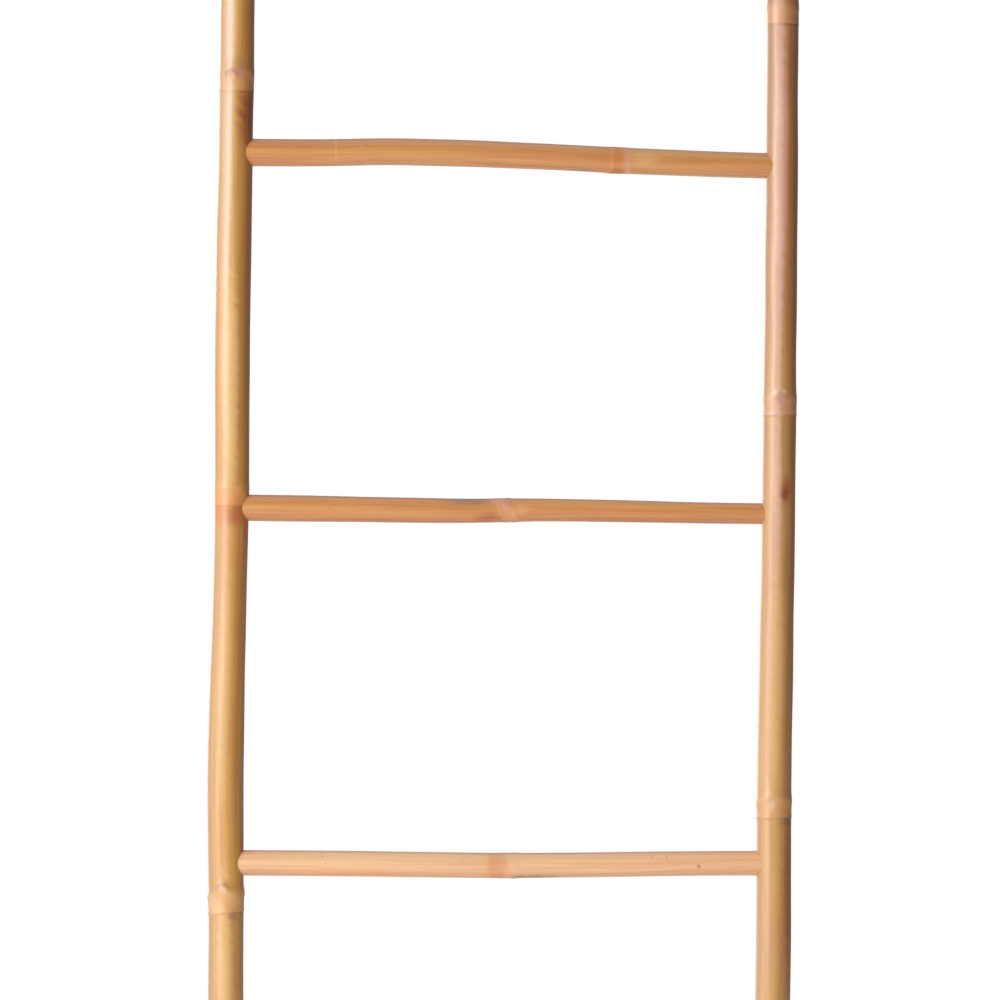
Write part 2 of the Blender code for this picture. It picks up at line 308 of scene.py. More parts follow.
def node_place(cane, node, along, turn):
    """Distance past a node's scar, and distance round from its bud, for points of the skin.

    The scar's own place is its distance, plus the tilt times the sine of the angle, plus a small wobble.
    """
    wobble = SCAR_WOBBLE * waves(0 * along, turn, cane.seed + int(abs(node.scar) * 1000), 1.0, most_turns=6)
    past = cane.grows * (along - node.scar) - node.tilt * np.sin(turn) - wobble
    aside = wrapped(turn - math.radians(node.bud)) * cane.radius_at(along)
    return past, aside


def bud_reach(node, past, aside, size):
    """How far out a point lies from the middle of the bud: 1 on the bud's oval rim."""
    half_width, half_length = BUD_OVAL
    return np.hypot(aside / (half_width * size), (past - node.lift * size) / (half_length * size))


def ridge_middle(aside, size):
    """Where the ridge crests: level round the cane, and lifted by a bell over the bud."""
    lift, width = RIDGE_OVER_BUD
    return (RIDGE[0] + lift * bell(aside, width * size)) * size


def node_rise(node, past, aside, size):
    """The height of a node: flare, plus lip, plus waist, plus ridge, plus bud, less groove.

    The flare grows up to the scar and stops there. The lip steps up at the scar and dies away at once. The
    waist steps up there and down before the ridge, and the ridge is a bell. The bud is a mound and a rim
    less a dimple, each a bell of the reach. The groove is a bell across, from a step past the bud onwards.
    """
    flare_height, flare_length = FLARE
    flare = flare_height * np.exp(np.clip(past / flare_length, -60, 0)) * (past < 0)
    lip_height, extra, lip_length = LIP
    lip = (lip_height + extra * node.swell) * size * step_up(past, SCAR_SOFTNESS)
    lip = lip * np.exp(-np.clip(past, 0, 1) / lip_length)
    waist_height, soft_start, waist_end, soft_end = WAIST
    waist = waist_height * node.swell * step_up(past, soft_start) * step_up(waist_end * size - past, soft_end)
    _, crest_height, crest_width = RIDGE
    crest = crest_height * node.swell * size * bell(past - ridge_middle(aside, size), crest_width * size)
    reach = bud_reach(node, past, aside, size)
    bud = sum(height * bell(reach - ring, width) for height, ring, width in BUD_RELIEF)
    depth, groove_width, groove_start, soft, groove_length = GROOVE
    groove = depth * size * bell(aside, groove_width * size) * step_up(past - groove_start, soft)
    groove = groove * np.exp(-np.clip(past - groove_start, 0, 9) / groove_length)
    bud = size * (LEAST_BUD + (1 - LEAST_BUD) * node.brow) * bud
    return flare + lip + waist + crest + bud - groove


def skin_radius(cane, along, turn):
    """The radius of the finished skin: plain girth, a cosine of twice the angle, waves, and the nodes."""
    plain = cane.radius_at(along)
    oval = OVAL * plain * np.cos(2 * turn + cane.seed)
    total = plain + oval + UNEVEN * waves(along, turn, cane.seed, 0.22)
    for node in cane.nodes:
        past, aside = node_place(cane, node, along, turn)
        total = total + node_rise(node, past, aside, float(np.mean(plain)) / FULL_RADIUS)
    return total


ridge = node_rise(LEFT_NODES[0], np.array(RIDGE[0]), np.array(0.04), 1.0)
print("rise of a rail's ridge away from the bud, in mm:", round(float(ridge) * 1000, 2))

# %% [markdown]
# ## A closed shell for each cane
# The skin, the cut ends and the bore make one closed outline, which is carried once round the axis, so the
# mesh has no seams and no poles. Rows lie close together on the nodes, where the shape turns quickly, and
# further apart between them. The bore narrows at every node to the vent punched through its diaphragm.

# %% Shell of a cane
NODE_ROW_STEP = 0.0005
NODE_ROWS = (-0.006, 0.024)  # metres of close rows, before and past the scar
END_ROUNDING = 0.0004
BORE_ROUNDING = 0.0003
BORE_ROWS = 24
VENT_RADIUS = 0.0025
DIAPHRAGM = (0.005, 0.010)  # start and end past the scar
DIAPHRAGM_SOFTNESS = 0.0006
DIAPHRAGM_ROWS = (0.001, 0.0145, 0.0009)  # start, end and step of the bore's close rows past the scar


def skin_rows(cane):
    """Distances of the skin's rows: even ones, and close ones across each node."""
    start, end = cane.span
    even = np.linspace(start, end, int((end - start) / cane.row_step))
    rows = [even]
    for node in cane.nodes:
        near, far = sorted(node.scar + cane.grows * reach for reach in NODE_ROWS)
        rows = [row[(row < near) | (row > far)] for row in rows]
        rows.append(np.arange(near, far, NODE_ROW_STEP))
    along = np.unique(np.concatenate(rows))
    along = along[(along > start + 2 * END_ROUNDING) & (along < end - 2 * END_ROUNDING)]
    return np.concatenate(([start + END_ROUNDING], along, [end - END_ROUNDING]))


def bore_radius(cane, along):
    """The girth less the wall, drawn in to the vent by two S-shaped steps where a diaphragm crosses."""
    radius = cane.radius_at(along) - WALL
    for node in cane.nodes:
        past = cane.grows * (along - node.scar)
        plug = step_up(past - DIAPHRAGM[0], DIAPHRAGM_SOFTNESS)
        plug = plug * step_up(DIAPHRAGM[1] - past, DIAPHRAGM_SOFTNESS)
        radius = radius + (VENT_RADIUS - radius) * plug
    return radius


def bore_rows(cane):
    """Distances of the bore's rows, from the far end back to the near one."""
    start, end = cane.span
    rows = [np.linspace(start + BORE_ROUNDING, end - BORE_ROUNDING, BORE_ROWS)]
    for node in cane.nodes:
        rows.append(node.scar + cane.grows * np.arange(*DIAPHRAGM_ROWS))
    along = np.unique(np.concatenate(rows))
    return along[(along >= start + BORE_ROUNDING) & (along <= end - BORE_ROUNDING)][::-1]


def angles_round(columns):
    """One row of even angles, once round."""
    return np.linspace(-math.pi, math.pi, columns, endpoint=False)[None, :]


def ring_points(centres, front, side, turn, radius):
    """Points round an axis: the centre, plus the radius times a unit arrow turned from front to side."""
    arrow = np.cos(turn)[..., None] * front + np.sin(turn)[..., None] * side
    return centres[:, None, :] + radius[..., None] * arrow


def shell_grid(cane):
    """The closed outline of a cane at every angle: skin, far end, bore, near end."""
    start, end = cane.span
    turn = angles_round(cane.columns)
    outer, inner = skin_rows(cane), bore_rows(cane)
    skin = skin_radius(cane, outer[:, None], turn)
    bore = bore_radius(cane, inner)[:, None] + 0 * turn
    along = np.concatenate((outer, [end], [end], inner, [start], [start]))
    radius = np.concatenate(
        (
            *(skin, skin[-1:] - END_ROUNDING, bore[:1] + BORE_ROUNDING),
            *(bore, bore[-1:] + BORE_ROUNDING, skin[:1] - END_ROUNDING),
        )
    )
    return ring_points(cane.centre_at(along), FRONT, cane.side, turn, radius)


def grid_mesh(name, grid, closed):
    """Faces over a grid of rings. The last ring joins the first when closed; if not, both ends are capped."""
    rows, columns = grid.shape[:2]
    index = np.arange(rows * columns).reshape(rows, columns)
    near = index if closed else index[:-1]
    far = np.roll(index, -1, axis=0) if closed else index[1:]
    corners = (near, np.roll(near, -1, axis=1), np.roll(far, -1, axis=1), far)
    faces = np.stack(corners, axis=-1).reshape(-1, 4).tolist()
    if not closed:
        faces += [index[0, ::-1].tolist(), index[-1].tolist()]
    mesh = bpy.data.meshes.new(name)
    mesh.from_pydata(grid.reshape(-1, 3), [], faces)
    mesh.update()
    return mesh


def add_object(name, mesh):
    """An object for a mesh, in the scene, with its origin at the world's."""
    obj = bpy.data.objects.new(name, mesh)
    bpy.context.scene.collection.objects.link(obj)
    return obj


shells = {}
for cane in canes:
    shells[cane.name] = add_object(cane.name + "_cane", grid_mesh(cane.name, shell_grid(cane), closed=True))
    print(cane.name, len(shells[cane.name].data.polygons), "faces")

# %% [markdown]
# ## Sockets and nail holes
# A rung end sits in a round socket in the rail, and a nail runs through both. A maker drills those after
# turning the canes, and so does this step: each cutter is a closed surface, and a Boolean takes it away.
# A socket's cutter is the rung's own skin grown by the clearance, so the gap is even all the way round.

# %% Cutters
SOCKET_CLEARANCE = 0.00022
SOCKET_DEPTH_CLEARANCE = 0.0004
SOCKET_CUTTER = (0.034, 13)  # length from the rung's end inwards, number of rings
NAIL_CLEARANCE = 0.00010
NAIL_COLUMNS = 24
HOLE_OVERSHOOT = (0.004, 0.0004)  # how far a nail hole's cutter goes past the head and past the point
SHARP_EDGE = 50  # degrees: a drilled edge sharper than this isn't shaded smooth
X_AXIS = np.array((1.0, 0.0, 0.0))
by_name = {cane.name: cane for cane in canes}


def socket_grid(rung, outward):
    """The rung's skin, grown by the clearance, from just past its end to well inside the ladder."""
    end = rung.span[0] if outward < 0 else rung.span[1]
    length, rings = SOCKET_CUTTER
    along = np.linspace(*sorted((end + outward * SOCKET_DEPTH_CLEARANCE, end - outward * length)), rings)
    turn = angles_round(rung.columns)
    radius = skin_radius(rung, along[:, None], turn) + SOCKET_CLEARANCE
    return ring_points(rung.centre_at(along), FRONT, rung.side, turn, radius)


def turned_grid(start, outline, columns):
    """A profile of (depth, radius) carried round a line that runs from the back to the front."""
    depth, radius = np.array(outline).T[..., None]
    side = np.cross(FRONT, X_AXIS)
    return ring_points(np.array(start) + depth * FRONT, X_AXIS, side, angles_round(columns), radius)


def nail_facts(name):
    """Where a CAD nail's head tops out, its length, and the radii of its head and shank."""
    low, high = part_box(name)
    centre = ((low[0] + high[0]) / 2, high[1], (low[2] + high[2]) / 2)
    middle = (low[1] + high[1]) / 2
    shank = centre[0] - feel(name, (centre[0] - FAR, middle, centre[2] + OFF_SEAM), (1, 0, 0))[0]
    return np.array(centre), high[1] - low[1], (high[0] - low[0]) / 2, shank


def cutter(name, grid, targets):
    """A hidden solid, and a Boolean on each target that takes it away."""
    tool = add_object(name, grid_mesh(name, grid, closed=False))
    for target in targets:
        cut = shells[target].modifiers.new(name, "BOOLEAN")
        cut.operation = "DIFFERENCE"
        cut.solver = "MANIFOLD"
        cut.object = tool
    return tool


tools = []
for number in range(1, 6):
    for label, outward in (("left", -1), ("right", 1)):
        rung, rail = f"rung_{number}", f"rail_{label}"
        tools.append(cutter(f"socket_{label}_{number}", socket_grid(by_name[rung], outward), (rail,)))
        head, length, _, shank = nail_facts(f"nail_{label}_{number}")
        ends = (-HOLE_OVERSHOOT[0], length + HOLE_OVERSHOOT[1])
        hole = [(depth, shank + NAIL_CLEARANCE) for depth in ends]
        tools.append(cutter(f"hole_{label}_{number}", turned_grid(head, hole, NAIL_COLUMNS), (rail, rung)))
print(len(tools), "cutters")

# %% Drill the canes
for name, shell in shells.items():
    graph = bpy.context.evaluated_depsgraph_get()
    drilled = bpy.data.meshes.new_from_object(shell.evaluated_get(graph))
    shell.modifiers.clear()
    shell.data = drilled
    drilled.name = shell.name
    drilled.materials.clear()
    drilled.shade_smooth()
    drilled.set_sharp_from_angle(angle=math.radians(SHARP_EDGE))
    print(name, len(drilled.vertices), "points after drilling")
for tool in tools:
    bpy.data.objects.remove(tool)

# %% [markdown]
# ## Marks left by growing and curing, and painted light
# The skin isn't one colour. Past each scar comes a paler, pinker band, the scar itself is a dark line, and
# the bud leaves a brown eye. Heat from curing leaves reddish or greyish stains, often just below a scar.
# Light and shade are painted on as well: painted shade down the right side of each rail, along the top and
# underside of each rung and in the corners at the joints, and long pale painted highlights and a painted
# reflection on the rails' lit side. Each mark is painted straight onto the mesh as a colour and a strength,
# so it follows the skin wherever the cane bends. A stain is an oval with a soft edge, and slow waves make
# the edge ragged.

# %% Mark colours, painted light and places
TINTS = {  # colours of reflected light, from 0 to 1
    "peach": (0.78, 0.37, 0.16),
    "cream": (0.86, 0.62, 0.33),
    "pink": (0.8, 0.42, 0.28),
    "rose": (0.74, 0.31, 0.22),
    "apricot": (0.8, 0.31, 0.09),
    "orange": (0.6, 0.18, 0.035),
    "rust": (0.42, 0.1, 0.022),
    "red": (0.26, 0.048, 0.012),
    "umber": (0.28, 0.085, 0.022),
    "dark": (0.13, 0.045, 0.018),
    "brown": (0.3, 0.12, 0.045),
    "mauve": (0.5, 0.2, 0.19),
    "beige": (0.7, 0.5, 0.33),
    "olive": (0.32, 0.18, 0.045),
    "grey": (0.34, 0.18, 0.11),
    # painted shade: the darker, redder amber of a rail's shaded right side
    "painted_shade_amber": (0.34, 0.105, 0.026),
    # a painted reflection: the dull pinkish grey of a rail's left edge
    "painted_rim_reflection": (0.5, 0.31, 0.22),
    # a painted highlight: the pinkish white of the lacquer's sheen
    "painted_highlight": (0.8, 0.52, 0.46),
    # a painted sheen: the lighter gold of a broad highlight
    "painted_sheen": (0.82, 0.54, 0.22),
}
# stains, with painted highlights and painted shade among them
# tint, distance along, angle round, half length, half width in degrees, strength
STAINS_AND_PAINTED_LIGHT = {
    "rail_left": (
        # painted highlight: pinkish white sheen on the lit left side of the upper rail
        ("painted_highlight", 1.12, -26, 0.24, 18, 0.32),
        # painted highlights: the next three make the front of the rail lighter, as a broad sheen
        ("painted_sheen", 0.855, 2, 0.095, 20, 0.6),
        ("painted_sheen", 0.355, -4, 0.07, 26, 0.5),
        ("painted_sheen", 0.6, -6, 0.09, 20, 0.35),
        ("rust", 1.086, 84, 0.03, 66, 0.95),
        ("red", 1.087, 82, 0.026, 58, 0.85),
        ("mauve", 1.1228, 13, 0.0048, 12, 0.9),
        ("umber", 1.1232, -22, 0.0038, 15, 0.75),
        ("brown", 1.13, 10, 0.006, 50, 0.25),
        ("orange", 0.745, 24, 0.011, 100, 0.65),
        ("rust", 0.744, 26, 0.008, 40, 0.7),
        # painted shade: the next three darken the corners where rungs meet the rail
        ("rust", 0.74, 76, 0.024, 26, 0.8),
        ("rust", 0.447, 74, 0.022, 22, 0.7),
        ("brown", 1.053, 76, 0.014, 16, 0.45),
        ("brown", 0.3995, 27, 0.0042, 20, 0.6),
        ("cream", 0.408, -44, 0.007, 34, 0.4),
        ("red", 1.395, 30, 0.012, 30, 0.5),
        ("olive", 0.24, 150, 0.03, 40, 0.45),
        ("red", 0.93, 168, 0.025, 24, 0.5),
    ),
    "rail_right": (
        # painted shade: the left side of the upper rail darker, so its highlight sits nearer the middle
        ("brown", 1.22, -66, 0.35, 38, 0.42),
        # painted highlights: pinkish white sheen down the front of the rail
        ("painted_highlight", 1.03, -7, 0.2, 14, 0.65),
        ("painted_highlight", 0.76, -4, 0.075, 13, 0.45),
        ("rose", 1.065, 13, 0.095, 7, 0.85),
        # painted highlight: the front of the rail lighter, as a broad sheen
        ("painted_sheen", 0.605, 0, 0.09, 22, 0.4),
        ("rust", 0.7705, 25, 0.01, 20, 0.8),
        ("red", 0.768, 21, 0.0056, 11, 0.85),
        ("rust", 0.66, 80, 0.16, 30, 0.5),
        # painted shade in the corner where a rung meets the rail
        ("brown", 0.75, -78, 0.013, 14, 0.35),
        ("cream", 0.854, -18, 0.0022, 8, 0.55),
        ("cream", 0.8545, 12, 0.0024, 10, 0.6),
        ("rust", 0.42, 64, 0.07, 36, 0.6),
        ("red", 0.42, 74, 0.064, 34, 0.5),
        # a dark mark below the scar, deepened with painted shade under its lip on the shaded side
        ("dark", 0.4862, 50, 0.0036, 32, 0.55),
        ("orange", 0.496, 34, 0.0064, 18, 0.55),
        ("red", 1.06, 160, 0.03, 26, 0.5),
        ("olive", 0.31, -150, 0.025, 34, 0.4),
    ),
    "rung_1": (
        ("orange", 0.02, 30, 0.02, 40, 0.4),
        ("grey", -0.12, -60, 0.018, 34, 0.35),
    ),
    "rung_2": (
        ("orange", -0.004, 10, 0.0075, 140, 0.45),
        ("apricot", 0.0065, 24, 0.0034, 34, 0.45),
        ("apricot", -0.13, 60, 0.09, 34, 0.35),
        ("dark", 0.024, 78, 0.026, 24, 0.55),
        ("dark", 0.17, 12, 0.0012, 8, 0.75),
        ("cream", -0.11, -42, 0.09, 34, 0.35),
    ),
    "rung_3": (
        ("grey", -0.03, -62, 0.02, 32, 0.9),
        ("rust", -0.014, 46, 0.011, 34, 0.75),
        ("rose", -0.008, -58, 0.005, 30, 0.65),
        ("mauve", 0.002, -52, 0.004, 28, 0.45),
        ("pink", 0.0, -30, 0.0034, 34, 0.5),
        ("peach", 0.014, -6, 0.007, 24, 0.65),
        ("rust", 0.12, 64, 0.09, 26, 0.5),
        ("rust", -0.11, 68, 0.09, 22, 0.4),
    ),
    "rung_4": (
        ("orange", 0.088, 0, 0.01, 150, 0.5),
        ("pink", 0.101, 0, 0.003, 150, 0.4),
        ("red", 0.095, 60, 0.004, 20, 0.6),
        ("cream", 0.116, -10, 0.011, 30, 0.28),
        ("red", 0.064, 80, 0.013, 18, 0.6),
        ("cream", -0.148, -20, 0.0008, 60, 0.35),
    ),
    "rung_5": (
        ("red", -0.04, -40, 0.01, 26, 0.45),
        ("olive", 0.15, 20, 0.03, 50, 0.35),
    ),
}
# the angle of a rail's shaded right side; its negative is a rail's left edge and a rung's top
SHADED_SIDE = math.radians(82)
# a rung's underside, painted darker as shade
UNDER_SIDE = math.radians(58)
# painted shade: the scar lines are painted darkest on the shaded side
SCAR_SHADE_SIDE = math.radians(55)  # the side where the scars show darkest
# painted light down one side of a cane: tint, angle round, width in radians, strength
# on a rail: painted shade down the right side, and a painted reflection down the left edge
RAIL_PAINTED_LIGHT = (("painted_shade_amber", SHADED_SIDE, 1.0, 1.0), ("painted_rim_reflection", -SHADED_SIDE, 0.7, 0.55))
# on a rung: painted shade along its top and its underside
RUNG_PAINTED_SHADE = (("rust", -SHADED_SIDE, 0.5, 0.35), ("umber", UNDER_SIDE, 0.8, 0.30))
# share of the painted shade down a rail's right side, strongest high up: (distance along, share)
PAINTED_SHADE_ALONG = ((0.0, 0.6), (0.5, 0.55), (0.75, 0.7), (0.93, 0.95), (1.5, 0.95))
# how far each cane's own colour has gone from gold to tan: (distance along, share)
TONES = {
    "rail_left": ((0.0, 0.5), (0.6, 0.45), (0.76, 0.4), (0.95, 0.25), (1.2, 0.15), (1.5, 0.2)),
    "rail_right": ((0.0, 0.2), (0.5, 0.15), (0.75, 0.3), (0.95, 0.55), (1.15, 0.65), (1.5, 0.6)),
    "rung_1": ((-0.24, 0.3), (0.24, 0.6)),
    "rung_2": ((-0.24, 0.3), (-0.02, 0.45), (0.02, 0.1), (0.24, 0.55)),
    "rung_3": ((-0.24, 0.35), (-0.05, 0.6), (0.04, 0.3), (0.24, 0.55)),
    "rung_4": ((-0.24, 0.55), (0.08, 0.35), (0.12, 0.15), (0.24, 0.4)),
    "rung_5": ((-0.24, 0.6), (0.24, 0.2)),
}


RAGGED, SOFT = 0.12, 0.16  # how ragged and how soft a stain's edge is, in parts of its half size
SHADING = 0.25  # how much a node's marks come and go
BAND_EDGES = (0.0003, 0.0016)  # softness at the scar and at the ridge
BAND_RAGGED = 0.0004
# the cream crest is the ridge's pale skin and a painted highlight along the ridge
CREST_AND_HIGHLIGHT = (0.32, 0.001, 0.0020)  # strength of the cream on a full ridge, distance past its middle, width
BROW = (1.15, 0.42, 0.0012)  # reach of the arch, its width, softness of its start
SCAR_LINE = (0.00070, 0.00030, 0.00090)  # distance before the scar, raggedness, width
# the scar line fades away from the shaded side, as painted shade
FAINTEST_LINE = 0.15  # share of the line on the side away from its darkest


@dataclass
class Film:
    """The paint on a cane so far: at every point of its skin, a colour and how much of the skin it covers."""

    colour: np.ndarray
    strength: np.ndarray

    def lay(self, tint, weight):
        """Lays a tint over the rest, as one sheet of coloured film over another.

        The old paint keeps its strength times what the tint leaves clear, and the colours mix in proportion.
        """
        self.strength = self.strength * (1 - weight) + weight
        share = (weight / np.maximum(self.strength, 1e-6))[:, None]
        self.colour = self.colour * (1 - share) + np.array(TINTS[tint]) * share


def lay_painted_light(film, cane, along, turn):
    """Painted shade and a painted reflection down a cane's sides, each a bell round it; a rail's shade
    follows height.
    """
    for tint, side, width, most in RAIL_PAINTED_LIGHT if cane.is_rail else RUNG_PAINTED_SHADE:
        weight = most * bell(wrapped(turn - side), width)
        # the painted shade down a rail's right side changes with height
        if tint == "painted_shade_amber":
            weight = weight * np.interp(along, *zip(*PAINTED_SHADE_ALONG))
        film.lay(tint, weight)


def lay_node(film, cane, node, along, turn, rough):
    """One node's marks: the band from scar to ridge, the cream crest, the eye, the brow over it, the scar.

    The band steps up at the scar and down at the ridge. The rest are bells: the crest's of the distance to
    the ridge, with a painted highlight on it, the eye's and the brow's of the reach, and the line's of the
    distance to the scar, with painted shade making it darkest on the shaded side.
    """
    size = float(np.mean(cane.radius_at(along))) / FULL_RADIUS
    past, aside = node_place(cane, node, along, turn)
    uneven = 1 - SHADING + SHADING * np.clip(waves(along, turn, cane.seed + 8, 0.03, 6, 6), -1, 1)
    ridge_at = ridge_middle(aside, size)
    band = step_up(past, BAND_EDGES[0]) * step_up(ridge_at + BAND_RAGGED * rough - past, BAND_EDGES[1])
    film.lay(node.band[0], node.band[1] * band * uneven)
    cream, beyond, width = CREST_AND_HIGHLIGHT
    # the pale ridge, with a painted highlight along its top
    film.lay("cream", cream * node.swell * bell(past - ridge_at - beyond, width) * uneven)
    reach = bud_reach(node, past, aside, size)
    film.lay(node.eye[0], node.eye[1] * bell(reach, 1.0))
    arch, width, soft = BROW
    film.lay("umber", node.brow * bell(reach - arch, width) * step_up(past - node.lift * size, soft))
    before, ragged, width = SCAR_LINE
    line = bell(past + before + ragged * rough, width)
    # painted shade: the line darkest on the shaded side
    line = line * (FAINTEST_LINE + (1 - FAINTEST_LINE) * bell(wrapped(turn - SCAR_SHADE_SIDE), 1.0))
    film.lay("dark", node.line * line * uneven)


def marks_and_light_on(cane, along, turn):
    """All the marks and painted light at points of the skin: the painted sides first, then the stains, then
    the nodes.
    """
    rough = waves(along, turn, cane.seed + 5, 0.020, 8, 9)
    film = Film(np.zeros((len(along), 3)), np.zeros(len(along)))
    lay_painted_light(film, cane, along, turn)
    for tint, distance, angle, half_length, half_width, most in STAINS_AND_PAINTED_LIGHT[cane.name]:
        beyond = (along - distance) / half_length
        beside = wrapped(turn - math.radians(angle)) / math.radians(half_width)
        film.lay(tint, most * step_up(1 + RAGGED * rough - np.hypot(beyond, beside), SOFT))
    for node in cane.nodes:
        lay_node(film, cane, node, along, turn, rough)
    return film


# %% Write the marks and painted light onto the meshes
BARE_DEPTH = 0.0003  # deeper below the skin than this, the wood is bare
END_FACE = 1e-5  # nearer to a cane's end than this, a point lies on the sawn face


def put_attribute(mesh, name, kind, field, values):
    """Stores one value, vector or colour for every point of a mesh."""
    attribute = mesh.attributes.new(name, kind, "POINT")
    attribute.data.foreach_set(field, np.ascontiguousarray(values, dtype=np.float32).ravel())


def describe_surface(cane, mesh):
    """Stores, for every point: its place on the cane laid out straight, its marks and painted light, and
    whether it is bare.
    """
    points = np.empty(len(mesh.vertices) * 3, np.float32)
    mesh.vertices.foreach_get("co", points)
    points = points.reshape(-1, 3).astype(float)
    along = points @ cane.direction
    away = points - cane.centre_at(along)
    across, forward = away @ cane.side, away @ FRONT
    turn, radius = np.arctan2(across, forward), np.hypot(across, forward)
    bare = radius < skin_radius(cane, along, turn) - BARE_DEPTH
    start, end = cane.span
    bare |= (along < start + END_FACE) | (along > end - END_FACE)
    film = marks_and_light_on(cane, along, turn)
    put_attribute(mesh, "straightened", "FLOAT_VECTOR", "vector", np.stack((across, forward, along), -1))
    put_attribute(mesh, "marks_and_painted_light", "FLOAT_COLOR", "color", np.column_stack((film.colour, film.strength)))
    put_attribute(mesh, "bare", "FLOAT", "value", bare)
    put_attribute(mesh, "tone", "FLOAT", "value", np.interp(along, *zip(*TONES[cane.name])))


for cane in canes:
    describe_surface(cane, shells[cane.name].data)
print("attributes:", [attribute.name for attribute in shells["rail_left"].data.attributes][-3:])

# %% [markdown]
# ## Node groups for the grain
# All the canes share the same grain: hair-fine fibres that run the whole length of an internode, wider
# clouds of lighter and darker skin, and a few dark pin specks. The groups below are built once and put in
# each finish with its own values. They read each cane laid out straight, so the fibres follow its bends.
# Noise stretched along the cane makes fibres, and a small dot in some of the cells of a Voronoi a speck.

# %% Helpers for shader nodes
def connect(tree, node, inputs):
    """Gives each named input of a node its value, or a link from a socket."""
    for name, value in inputs.items():
        if isinstance(value, bpy.types.NodeSocket):
            tree.links.new(value, node.inputs[name])
        else:
            node.inputs[name].default_value = value
    return node


def add_node(tree, kind, inputs=None, **settings):
    """Adds a shader node with its settings and inputs."""
    node = tree.nodes.new(kind)
    for name, value in settings.items():
        setattr(node, name, value)
    return connect(tree, node, inputs or {})


def new_material(name):
    """A node material, with its node tree and its Principled shader."""
    material = bpy.data.materials.new(name)
    material.use_nodes = True
    return material, material.node_tree, material.node_tree.nodes["Principled BSDF"]


def mix_colours(tree, factor, first, second, blend_type="MIX"):
    """A colour mix: all of the first at factor 0, all of the second at 1."""
    inputs = {0: factor, 6: first, 7: second}
    return add_node(tree, "ShaderNodeMix", inputs, data_type="RGBA", blend_type=blend_type).outputs[2]


def arithmetic(tree, operation, *values, clamp=False):
    """One sum on two or three values or sockets."""
    inputs = dict(enumerate(values))
    return add_node(tree, "ShaderNodeMath", inputs, operation=operation, use_clamp=clamp).outputs[0]


def remap(tree, value, low, high, new_low=0.0, new_high=1.0):
    """Moves a value from one range to another, with no overshoot."""
    inputs = {"Value": value, "From Min": low, "From Max": high, "To Min": new_low, "To Max": new_high}
    return add_node(tree, "ShaderNodeMapRange", inputs).outputs["Result"]


def scaled(tree, place, stretch):
    """A place with its three directions scaled apart."""
    return add_node(tree, "ShaderNodeVectorMath", {0: place, 1: stretch}, operation="MULTIPLY").outputs[0]


def length_of(tree, place):
    """How far a place lies from the origin."""
    return add_node(tree, "ShaderNodeVectorMath", {0: place}, operation="LENGTH").outputs["Value"]


def stretched_noise(tree, place, stretch, detail):
    """Noise on a scaled place, so that its blots come out long."""
    inputs = {"Vector": scaled(tree, place, stretch), "Scale": 1.0, "Detail": detail, "Roughness": 0.55}
    return add_node(tree, "ShaderNodeTexNoise", inputs).outputs["Fac"]


def new_group(name, inputs, outputs):
    """An empty node group with named sockets, and its input and output nodes."""
    group = bpy.data.node_groups.new(name, "ShaderNodeTree")
    for direction, sockets in (("INPUT", inputs), ("OUTPUT", outputs)):
        for label, kind in sockets:
            group.interface.new_socket(name=label, in_out=direction, socket_type=kind)
    return group, group.nodes.new("NodeGroupInput"), group.nodes.new("NodeGroupOutput")


VECTOR, FLOAT, COLOUR = "NodeSocketVector", "NodeSocketFloat", "NodeSocketColor"

# %% Fibre grain
FINE_FIBRES = (950.0, 950.0, 16.0)  # blots per metre across and along the cane
BROAD_FIBRES = (300.0, 300.0, 5.0)
CLOUDS = (120.0, 120.0, 7.0)
SPECK_CELLS = (170.0, 170.0, 90.0)
STREAK_RANGE, CLOUD_RANGE = (0.34, 0.66), (0.33, 0.67)  # the part of the noise that is spread out
SPECK_SIZES = (0.11, 0.0605)  # where a speck fades out and where it's full, in parts of a cell
SPECK_FREE = 0.90  # share of the cells that hold no speck
FINE_SHARE = 0.45  # the rest of a streak comes from the broad fibres

grain, grain_in, grain_out = new_group(
    "cane_grain",
    (("Place", VECTOR),),
    (("Streak", FLOAT), ("Cloud", FLOAT), ("Speck", FLOAT), ("Height", FLOAT)),
)
place = grain_in.outputs["Place"]
fine = stretched_noise(grain, place, FINE_FIBRES, 2.0)
broad = stretched_noise(grain, place, BROAD_FIBRES, 3.0)
cloud = stretched_noise(grain, place, CLOUDS, 3.0)
fine_part = arithmetic(grain, "MULTIPLY", fine, FINE_SHARE)
streak = arithmetic(grain, "ADD", fine_part, arithmetic(grain, "MULTIPLY", broad, 1 - FINE_SHARE))
cells = scaled(grain, place, SPECK_CELLS)
voronoi = add_node(grain, "ShaderNodeTexVoronoi", {"Vector": cells, "Scale": 1.0})
speck = remap(grain, voronoi.outputs["Distance"], *SPECK_SIZES)
chance = add_node(grain, "ShaderNodeSeparateColor", {"Color": voronoi.outputs["Color"]})
speck = arithmetic(grain, "MULTIPLY", speck, arithmetic(grain, "GREATER_THAN", chance.outputs[0], SPECK_FREE))
spread_streak, spread_cloud = remap(grain, streak, *STREAK_RANGE), remap(grain, cloud, *CLOUD_RANGE)
connect(
    grain, grain_out, {"Streak": spread_streak, "Cloud": spread_cloud, "Speck": speck, "Height": streak}
)
print(grain.name, len(grain.nodes), "nodes")

# %% [markdown]
# ## Skin colour and cut wood
# Lacquered bamboo goes from straw gold to orange tan in long clouds, and the fibres darken or lighten it a
# little. The marks and the painted light and shade on the mesh go over that. Where the cane was sawn or
# drilled there is no skin: the wood is pale and dull, with a dark dot for each bundle of fibres, closest
# together under the skin.

